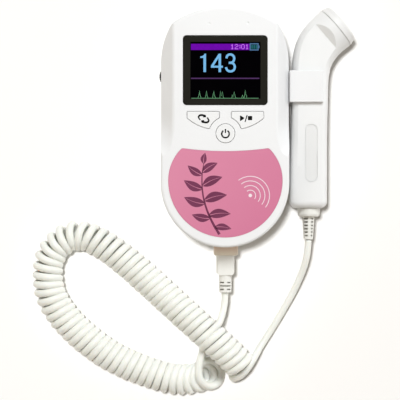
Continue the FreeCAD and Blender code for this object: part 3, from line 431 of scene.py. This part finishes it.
M["print_black"] = plastic("print_black", (0.003, 0.003, 0.003), (0.007, 0.007, 0.006), (0.55, 0.7), 2500.0, 0.03, 200.0, spec=0.06)
M["print_maroon"] = plastic("print_maroon", (0.150, 0.036, 0.080), (0.175, 0.044, 0.096), (0.55, 0.65), 2500.0, 0.02, 60.0, spec=0.06)
M["print_white"] = plastic("print_white", (0.74, 0.62, 0.67), (0.80, 0.70, 0.74), (0.35, 0.45), 2500.0, 0.02, 90.0, spec=0.3)
M["wheel_black"] = plastic("wheel_black", (0.006, 0.006, 0.006), (0.012, 0.012, 0.011), (0.42, 0.55), 1600.0, 0.10, 60.0, spec=0.2)
M["steel"] = plastic("steel", (0.52, 0.52, 0.53), (0.62, 0.62, 0.62), (0.22, 0.38), 900.0, 0.05, 120.0, metallic=1.0)
M["nickel"] = plastic("nickel", (0.62, 0.61, 0.58), (0.72, 0.71, 0.68), (0.14, 0.26), 900.0, 0.03, 120.0, metallic=1.0)
M["board_green"] = plastic("board_green", (0.012, 0.11, 0.045), (0.02, 0.16, 0.065), (0.3, 0.42), 900.0, 0.06, 90.0)
M["chip_black"] = plastic("chip_black", (0.015, 0.015, 0.015), (0.03, 0.03, 0.03), (0.45, 0.6), 1800.0, 0.12, 90.0)
M["cell_wrap"] = plastic("cell_wrap", (0.03, 0.035, 0.05), (0.06, 0.065, 0.09), (0.2, 0.3), 900.0, 0.03, 60.0)
M["speaker_black"] = plastic("speaker_black", (0.02, 0.02, 0.02), (0.045, 0.043, 0.04), (0.6, 0.8), 1200.0, 0.2, 90.0)
M["foam_black"] = plastic("foam_black", (0.02, 0.02, 0.02), (0.05, 0.05, 0.05), (0.8, 0.95), 1500.0, 0.4, 300.0)
M["piezo"] = plastic("piezo", (0.5, 0.45, 0.34), (0.62, 0.56, 0.44), (0.3, 0.5), 900.0, 0.05, 120.0)
M["backing_grey"] = plastic("backing_grey", (0.12, 0.12, 0.12), (0.22, 0.22, 0.22), (0.6, 0.8), 900.0, 0.2, 120.0)


def pink_material():
    m, nt, b = new_material("panel_pink")
    v = coords(nt)
    sep = nt.nodes.new("ShaderNodeSeparateXYZ")
    nt.links.new(v, sep.inputs[0])
    # a slow change of tone from the upper left to the lower right, with a soft cloudiness
    add = nt.nodes.new("ShaderNodeMath")
    add.operation = "SUBTRACT"
    nt.links.new(sep.outputs["Y"], add.inputs[0])
    nt.links.new(sep.outputs["X"], add.inputs[1])
    mr = nt.nodes.new("ShaderNodeMapRange")
    mr.inputs["From Min"].default_value = -0.075
    mr.inputs["From Max"].default_value = 0.012
    nt.links.new(add.outputs[0], mr.inputs["Value"])
    n = noise(nt, 45.0, 4.0, 0.6, v)
    mx = nt.nodes.new("ShaderNodeMath")
    mx.operation = "MULTIPLY_ADD"
    mx.inputs[1].default_value = 0.22
    nt.links.new(n.outputs["Fac"], mx.inputs[0])
    nt.links.new(mr.outputs[0], mx.inputs[2])
    r = ramp(nt, mx.outputs[0], [(0.1, (0.580, 0.182, 0.296)), (1.0, (0.622, 0.224, 0.336))])
    b.inputs["Specular IOR Level"].default_value = 0.22
    nt.links.new(r.outputs[0], b.inputs["Base Color"])
    fine = noise(nt, 2500.0, 2.0, 0.5, v)
    bp = nt.nodes.new("ShaderNodeBump")
    bp.inputs["Strength"].default_value = 0.03
    bp.inputs["Distance"].default_value = 0.0002
    nt.links.new(fine.outputs["Fac"], bp.inputs["Height"])
    nt.links.new(bp.outputs[0], b.inputs["Normal"])
    rr = rough_range(nt, n.outputs["Fac"], 0.30, 0.38)
    nt.links.new(rr.outputs[0], b.inputs["Roughness"])
    return m


M["panel_pink"] = pink_material()


def ivory_material():
    """The plug's moulding, with painted shade: its tone turns a warm brown towards the case edge, standing in for the
    case's shadow and warm bounced light on the shoulder.
    """
    m = plastic("plug_ivory", (0.74, 0.735, 0.69), (0.775, 0.77, 0.73), (0.40, 0.50), 1500.0, 0.05, 40.0, spec=0.4)
    nt = m.node_tree
    b = [n for n in nt.nodes if n.type == "BSDF_PRINCIPLED"][0]
    base = b.inputs["Base Color"].links[0].from_socket
    sep = nt.nodes.new("ShaderNodeSeparateXYZ")
    nt.links.new(coords(nt), sep.inputs[0])
    case_shade_ramp = nt.nodes.new("ShaderNodeMapRange")
    case_shade_ramp.interpolation_type = "SMOOTHSTEP"
    case_shade_ramp.inputs["From Min"].default_value = -0.0728
    case_shade_ramp.inputs["From Max"].default_value = -0.0672
    nt.links.new(sep.outputs["Y"], case_shade_ramp.inputs["Value"])
    # painted shade: darker warm brown right at the case edge, fading to ivory further from it
    painted_shade_tone = ramp(nt, case_shade_ramp.outputs[0], [(0.0, (0.80, 0.72, 0.60)), (1.0, (0.62, 0.46, 0.36))])
    step = nt.nodes.new("ShaderNodeMath")
    step.operation = "GREATER_THAN"
    step.inputs[1].default_value = -0.0727
    nt.links.new(sep.outputs["Y"], step.inputs[0])
    low = nt.nodes.new("ShaderNodeMath")
    low.operation = "LESS_THAN"
    low.inputs[1].default_value = 0.03
    nt.links.new(sep.outputs["X"], low.inputs[0])
    # where the painted shade goes: the shoulder below the case edge, on the plug only
    painted_shade_mask = nt.nodes.new("ShaderNodeMath")
    painted_shade_mask.operation = "MULTIPLY"
    nt.links.new(step.outputs[0], painted_shade_mask.inputs[0])
    nt.links.new(low.outputs[0], painted_shade_mask.inputs[1])
    mix = nt.nodes.new("ShaderNodeMix")
    mix.data_type = "RGBA"
    nt.links.new(painted_shade_mask.outputs[0], mix.inputs[0])
    nt.links.new(base, mix.inputs[6])
    nt.links.new(painted_shade_tone.outputs[0], mix.inputs[7])
    nt.links.new(mix.outputs[2], b.inputs["Base Color"])
    return m


M["plug_ivory"] = ivory_material()


SLOT = {s["node"]: s["material_slot"] for s in frame["record"]["subparts"]}
for n, o in NODES.items():
    o.data.materials.clear()
    o.data.materials.append(M[SLOT[n]])
cord.data.materials.append(M["cord_white"])
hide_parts("cord_plug_lead", "cord_coil_long", "cord_coil_short", "cord_probe_lead")

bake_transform(cord)


# ---------------------------------------------------------------------------
# Thin printed and lit details
# ---------------------------------------------------------------------------
class Flat:
    """Thin closed shapes lying on a face: outlines and ribbons in mm, between two heights."""

    def __init__(self, name, z0, z1):
        self.name, self.z0, self.z1 = name, z0, z1
        self.v, self.f = [], []

    def outline(self, pts):
        area2 = sum(pts[i][0] * pts[(i + 1) % len(pts)][1] - pts[(i + 1) % len(pts)][0] * pts[i][1] for i in range(len(pts)))
        if area2 < 0:
            pts = pts[::-1]
        n, k = len(pts), len(self.v)
        self.v += [(x * MM, y * MM, self.z0 * MM) for x, y in pts] + [(x * MM, y * MM, self.z1 * MM) for x, y in pts]
        self.f.append(tuple(k + n + i for i in range(n)))
        self.f.append(tuple(k + n - 1 - i for i in range(n)))
        for i in range(n):
            j = (i + 1) % n
            self.f.append((k + i, k + j, k + n + j, k + n + i))

    def ribbon(self, pts, width, closed=False):
        pts = [np.array(q, float) for q in pts]
        n, k = len(pts), len(self.v)
        if not hasattr(width, "__len__"):
            width = [width] * n
        for i, q in enumerate(pts):
            a = pts[i - 1] if (i > 0 or closed) else None
            b = pts[(i + 1) % n] if (i < n - 1 or closed) else None
            d1 = (q - a) / np.linalg.norm(q - a) if a is not None else None
            d2 = (b - q) / np.linalg.norm(b - q) if b is not None else None
            if d1 is None or d2 is None:
                d = d1 if d2 is None else d2
                s = 1.0
            else:
                d = d1 + d2
                d /= np.linalg.norm(d)
                s = min(2.2, 1.0 / max(0.2, abs(float(d @ d2))))
            side = np.array([-d[1], d[0]]) * width[i] * 0.5 * s
            for z in (self.z0, self.z1):
                for e in (q + side, q - side):
                    self.v.append((e[0] * MM, e[1] * MM, z * MM))
        last = n if closed else n - 1
        for i in range(last):
            p, q = k + 4 * i, k + 4 * ((i + 1) % n)
            self.f += [(p + 2, p + 3, q + 3, q + 2), (p + 1, p, q, q + 1), (p, p + 2, q + 2, q), (p + 3, p + 1, q + 1, q + 3)]
        if not closed:
            p, q = k, k + 4 * (n - 1)
            self.f += [(p, p + 1, p + 3, p + 2), (q + 1, q, q + 2, q + 3)]

    def make(self, material, body):
        me = bpy.data.meshes.new(self.name)
        me.from_pydata(self.v, [], self.f)
        bm = bmesh.new()
        bm.from_mesh(me)
        bmesh.ops.triangulate(bm, faces=[f for f in bm.faces if len(f.verts) > 4])
        bmesh.ops.recalc_face_normals(bm, faces=bm.faces)
        bm.to_mesh(me)
        bm.free()
        me.materials.append(material)
        ob = bpy.data.objects.new(self.name, me)
        SCENE.collection.objects.link(ob)
        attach(ob, body)
        return ob


def smooth2(pts, n=8, closed=False):
    """A smooth plane curve through the points."""
    pts = [np.array(q, float) for q in pts]
    out = []
    m = len(pts)
    for i in range(m if closed else m - 1):
        p1, p2 = pts[i], pts[(i + 1) % m]
        p0 = pts[i - 1] if (i > 0 or closed) else 2 * p1 - p2
        p3 = pts[(i + 2) % m] if (i + 2 < m or closed) else 2 * p2 - p1
        for k in range(n):
            s = k / n
            out.append(0.5 * (2 * p1 + (p2 - p0) * s + (2 * p0 - 5 * p1 + 4 * p2 - p3) * s * s + (3 * p1 - p0 - 3 * p2 + p3) * s ** 3))
    if not closed:
        out.append(pts[-1])
    return out


def arc2(cx, cy, r, a0, a1, n=24, ry=None):
    ry = r if ry is None else ry
    return [(cx + r * math.cos(math.radians(a0 + (a1 - a0) * i / n)), cy + ry * math.sin(math.radians(a0 + (a1 - a0) * i / n))) for i in range(n + 1)]


def rrect2(x0, x1, y0, y1, r, n=6):
    out = []
    for cx, cy, a in ((x1 - r, y1 - r, 0), (x0 + r, y1 - r, 90), (x0 + r, y0 + r, 180), (x1 - r, y0 + r, 270)):
        out += arc2(cx, cy, r, a, a + 90, n)
    return out


WIN_Z = 33.88
# lit area of the display
lit = Flat("display_area", WIN_Z, WIN_Z + 0.02)
lit.outline(rrect2(-19.55, 19.95, 16.0, 48.05, 0.25, 3))
lit.make(M["display"], "unit")

E_BLUE = emissive("lit_blue", (0.205, 0.525, 0.86), 1.0)
E_PURPLE = emissive("lit_purple", (0.165, 0.004, 0.43), 1.0)
E_LILAC = emissive("lit_lilac", (0.64, 0.19, 0.97), 1.0)
E_TEAL = emissive("lit_teal", (0.085, 0.19, 0.36), 1.0)
E_DEEP = emissive("lit_deep_teal", (0.02, 0.14, 0.16), 1.0)
E_LINE = emissive("lit_line", (0.085, 0.035, 0.125), 1.0)
E_GREEN = emissive("lit_green", (0.16, 0.42, 0.21), 1.0)

bar = Flat("status_bar", WIN_Z + 0.02, WIN_Z + 0.03)
bar.outline(rrect2(-19.25, 13.75, 43.45, 46.95, 0.05, 1))
bar.make(E_PURPLE, "unit")

# clock: plain digits on a 5 x 7 raster
clock = Flat("clock_digits", WIN_Z + 0.03, WIN_Z + 0.04)
RASTER = {"1": ("00100", "01100", "00100", "00100", "00100", "00100", "01110"),
          "2": ("01110", "10001", "00001", "00110", "01000", "10000", "11111"),
          "0": ("01110", "10001", "10001", "10001", "10001", "10001", "01110"),
          ":": ("000", "010", "010", "000", "010", "010", "000")}
cx, cell = 3.05, 0.40
for ch in "12:01":
    rows = RASTER[ch]
    for r, row in enumerate(rows):
        k = 0
        while k < len(row):
            if row[k] == "1":
                e = k
                while e < len(row) and row[e] == "1":
                    e += 1
                x0, y1 = cx + k * cell, 46.72 - r * cell
                clock.outline([(x0, y1 - cell), (x0 + (e - k) * cell, y1 - cell), (x0 + (e - k) * cell, y1), (x0, y1)])
                k = e
            else:
                k += 1
    cx += (len(rows[0]) + 0.9) * cell * (0.8 if ch == ":" else 1.0)
clock.make(E_LILAC, "unit")

batt = Flat("battery_sign", WIN_Z + 0.02, WIN_Z + 0.03)
batt.ribbon([(14.15, 43.5), (18.55, 43.5), (18.55, 46.95), (14.15, 46.95)], 0.62, closed=True)
batt.outline([(18.86, 44.5), (19.35, 44.5), (19.35, 45.95), (18.86, 45.95)])
batt.make(E_TEAL, "unit")
cells = Flat("battery_level", WIN_Z + 0.02, WIN_Z + 0.03)
for x in (14.75, 15.95, 17.15):
    cells.outline([(x, 44.1), (x + 0.9, 44.1), (x + 0.9, 46.35), (x, 46.35)])
cells.make(E_DEEP, "unit")

# heart rate in plain numerals
num = Flat("rate_digits", WIN_Z + 0.02, WIN_Z + 0.03)
num.outline([(-12.20, 31.05), (-10.74, 31.05), (-10.74, 41.38), (-11.50, 41.38), (-12.00, 40.62), (-12.70, 40.10), (-14.00, 39.82), (-14.00, 38.98), (-12.20, 39.02)])
num.outline([(-3.70, 31.02), (-2.28, 31.02), (-2.28, 33.50), (-1.25, 33.50), (-1.25, 34.62), (-2.28, 34.62), (-2.28, 41.38), (-3.60, 41.38), (-7.95, 34.68), (-7.95, 33.50), (-3.70, 33.50),
             (-3.70, 34.62), (-6.45, 34.62), (-3.70, 38.9)])
three = [(0.75, 38.75), (1.10, 40.05), (2.15, 40.86), (3.45, 40.90), (4.60, 40.20), (5.12, 38.95), (4.88, 37.55), (4.05, 36.55), (2.75, 36.28), (4.25, 36.05), (5.18, 35.05), (5.45, 33.85),
         (5.05, 32.45), (3.95, 31.60), (2.60, 31.45), (1.45, 31.95), (0.72, 33.05), (0.55, 33.80)]
up = smooth2(three[:9], 6)
down = smooth2(three[8:], 6)
num.ribbon(up, 1.27)
num.ribbon([(2.05, 36.28)] + [tuple(q) for q in down[2:]], 1.27)
num.make(E_BLUE, "unit")

rule = Flat("trace_rule", WIN_Z + 0.02, WIN_Z + 0.03)
rule.outline([(-19.2, 27.15), (19.25, 27.15), (19.25, 27.85), (-19.2, 27.85)])
rule.make(E_LINE, "unit")

trace = Flat("trace", WIN_Z + 0.02, WIN_Z + 0.03)
base = 16.32
line_pts = [(-19.0, base), (-15.35, base), (-15.0, 17.2), (-14.55, 19.0), (-14.4, 20.9), (-14.25, 19.0), (-13.75, 17.2), (-13.45, base), (-11.3, base), (-10.8, 18.0), (-10.45, 20.7), (-10.15, 18.2),
            (-9.6, base), (-7.05, base), (-6.75, 18.6), (-6.25, 20.6), (-6.1, 18.2), (-5.2, base), (-2.95, base), (-2.7, 20.6), (-2.2, 17.6), (-1.55, 20.2), (-1.1, 17.4), (-0.65, base),
            (3.75, base), (4.0, 18.4), (4.35, 17.0), (5.15, 20.2), (5.6, 17.8), (6.1, base), (9.3, base), (9.75, 18.2), (10.3, 16.9), (10.7, base), (10.95, 18.0), (11.35, 21.2), (11.6, 18.6),
            (12.0, 18.0), (12.25, base), (18.8, base)]
trace.ribbon([(x, base + (y - base) * 0.93) for x, y in line_pts], 0.23)
trace.ribbon([(-19.0, base), (18.8, base)], 0.26)
trace.make(E_GREEN, "unit")

# signs on the keys
KEY_Z = 34.0
sign = Flat("mode_sign", KEY_Z, KEY_Z + 0.02)
MX, MY = -12.07, 4.75
half = smooth2([(-1.85, -0.72), (-2.55, 0.15), (-2.85, 1.05), (-2.35, 1.80), (-1.45, 2.08), (-0.35, 1.95), (0.35, 1.70)], 6)
wide = [0.62 + 0.52 * min(1.0, i / (len(half) * 0.55)) for i in range(len(half))]
head = [(-0.35, 0.75), (1.30, 0.85), (1.42, 1.75), (0.75, 2.35), (-0.05, 2.30)]
for s in (1, -1):
    sign.ribbon([(MX + s * q[0], MY + s * q[1]) for q in half], wide)
    sign.outline([(MX + s * q[0], MY + s * q[1]) for q in head])
sign.make(M["print_black"], "mode_key")

sign = Flat("play_stop_sign", KEY_Z, KEY_Z + 0.02)
sign.outline([(8.38, 6.52), (8.38, 3.60), (8.85, 3.60), (10.74, 4.82), (10.74, 5.28), (8.85, 6.52)])
sign.outline([(10.96, 2.94), (11.54, 2.94), (12.68, 6.86), (12.08, 6.86)])
sign.outline(rrect2(12.80, 15.26, 3.94, 6.33, 0.42, 4))
sign.make(M["print_black"], "play_stop_key")

sign = Flat("power_sign", KEY_Z, KEY_Z + 0.02)
PX, PY = 0.20, -3.78
sign.ribbon(arc2(PX, PY, 2.12, 122, 418, 40), 0.84)
sign.ribbon([(PX, PY + 0.50), (PX, PY + 2.76)], 0.76)
sign.make(M["print_black"], "power_key")

# generic print on the panel: a leafy sprig and a few arcs
leaves = Flat("panel_sprig", WIN_Z, WIN_Z + 0.02)
stem = smooth2([(-3.2, -60.3), (-7.2, -53.5), (-10.6, -45.5), (-12.6, -37.0), (-13.0, -28.0), (-12.0, -20.0)], 10)
leaves.ribbon(stem, [1.5 - 1.1 * i / (len(stem) - 1) for i in range(len(stem))])


def leaf(x, y, ang, length, wide):
    """Two halves of a leaf, a fine gap between them for its midrib."""
    ca, sa = math.cos(math.radians(ang)), math.sin(math.radians(ang))
    for s in (1, -1):
        edge, rib = [], []
        for i in range(15):
            k = i / 14
            w = wide * 0.5 * math.sin(math.pi * k ** 0.82) ** 0.9
            bow = 0.06 * length * math.sin(math.pi * k)
            edge.append((length * k, bow + s * max(w, 0.11)))
            rib.append((length * k, bow + s * (0.16 * (1 - k) + 0.03)))
        poly = edge + rib[::-1]
        leaves.outline([(x + px * ca - py * sa, y + px * sa + py * ca) for px, py in poly])


for x, y, ang, length, wide in ((-12.1, -20.6, 82, 6.2, 3.4), (-12.9, -25.5, 32, 10.2, 4.6), (-13.0, -27.0, 146, 9.6, 4.4), (-12.75, -33.0, 24, 12.2, 5.3), (-12.7, -35.0, 154, 11.6, 5.2),
                                (-11.8, -41.3, 14, 13.2, 5.6), (-11.4, -43.2, 162, 12.2, 5.4), (-9.3, -49.6, 4, 12.4, 5.2), (-8.5, -51.4, 168, 10.4, 4.6), (-5.9, -56.2, -6, 9.4, 3.9)):
    leaf(x, y, ang, length, wide)
leaves.make(M["print_maroon"], "unit")

arcs = Flat("panel_arcs", WIN_Z, WIN_Z + 0.02)
for r in (3.0, 5.6, 8.2, 10.8):
    arcs.ribbon(arc2(14.2, -38.4, r, -38, 128, 30), 0.42)
arcs.outline(arc2(14.2, -38.4, 1.0, 0, 345, 23))
arcs.make(M["print_white"], "unit")


# ---------------------------------------------------------------------------
# Stage and light
# ---------------------------------------------------------------------------
me = bpy.data.meshes.new("floor")
me.from_pydata([(-3, -3, 0), (3, -3, 0), (3, 3, 0), (-3, 3, 0)], [], [(0, 1, 2, 3)])
floor = bpy.data.objects.new("floor", me)
SCENE.collection.objects.link(floor)
fm, nt, b = new_material("floor")
v = coords(nt)
n = noise(nt, 6.0, 3.0, 0.5, v)
r = ramp(nt, n.outputs["Fac"], [(0.3, (0.940, 0.940, 0.932)), (0.7, (0.950, 0.950, 0.942))])
nt.links.new(r.outputs[0], b.inputs["Base Color"])
b.inputs["Roughness"].default_value = 0.9
b.inputs["Specular IOR Level"].default_value = 0.1
me.materials.append(fm)

# a softly lit room: brighter and cooler to the upper right, dimmer and warmer to the lower left
world = bpy.data.worlds.new("studio")
SCENE.world = world
world.use_nodes = True
wt = world.node_tree
bg = wt.nodes["Background"]
tc = wt.nodes.new("ShaderNodeTexCoord")
dot = wt.nodes.new("ShaderNodeVectorMath")
dot.operation = "DOT_PRODUCT"
dot.inputs[1].default_value = (0.55, 0.83, 0.0)
wt.links.new(tc.outputs["Generated"], dot.inputs[0])
wr = wt.nodes.new("ShaderNodeMapRange")
wr.inputs["From Min"].default_value = -1.0
wr.inputs["From Max"].default_value = 1.0
wt.links.new(dot.outputs["Value"], wr.inputs["Value"])
wc = wt.nodes.new("ShaderNodeValToRGB")
wc.color_ramp.elements[0].position = 0.0
wc.color_ramp.elements[0].color = (0.110, 0.076, 0.046, 1)
wc.color_ramp.elements[1].position = 1.0
wc.color_ramp.elements[1].color = (0.285, 0.262, 0.232, 1)
e = wc.color_ramp.elements.new(0.5)
e.color = (0.18, 0.154, 0.118, 1)
wt.links.new(wr.outputs[0], wc.inputs[0])
wt.links.new(wc.outputs[0], bg.inputs[0])
bg.inputs[1].default_value = 1.0


def area(name, direction, dist, size, level, target=(-0.014, -0.041, 0.0), color=(1, 1, 1)):
    """An area light in a direction; level is what it adds to a white surface that faces it."""
    d = bpy.data.lights.new(name, "AREA")
    d.shape = "DISK"
    d.size = size
    d.energy = level * math.pi ** 2 * dist ** 2
    d.color = color
    o = bpy.data.objects.new(name, d)
    v = Vector(direction).normalized()
    o.location = Vector(target) + v * dist
    o.rotation_euler = (-v).to_track_quat("-Z", "Y").to_euler()
    SCENE.collection.objects.link(o)
    return o


key = area("key", (0.18, 0.54, 0.82), 2.2, 0.95, 0.865, color=(0.965, 0.998, 1.03))
fills = [area("fill_right", (0.90, 0.10, 0.42), 2.0, 0.8, 0.235), area("fill_left", (-0.88, -0.05, 0.48), 2.0, 0.8, 0.26, color=(1.0, 0.975, 0.91)),
         area("fill_low", (-0.05, -0.80, 0.60), 2.0, 0.8, 0.20, color=(1.0, 0.95, 0.89))]
table = area("table_light", (-0.100, 0.112, 0.989), 2.2, 0.26, 0.905)
# the floor has a lamp of its own, as over a lit white table
for lamp in [key, table] + fills:
    group = bpy.data.collections.new(lamp.name + "_group")
    group.objects.link(floor)
    lamp.light_linking.receiver_collection = group
    group.collection_objects[0].light_linking.link_state = "INCLUDE" if lamp is table else "EXCLUDE"

SCENE.view_settings.view_transform = "Standard"
SCENE.view_settings.look = "None"
SCENE.view_settings.exposure = 0.0
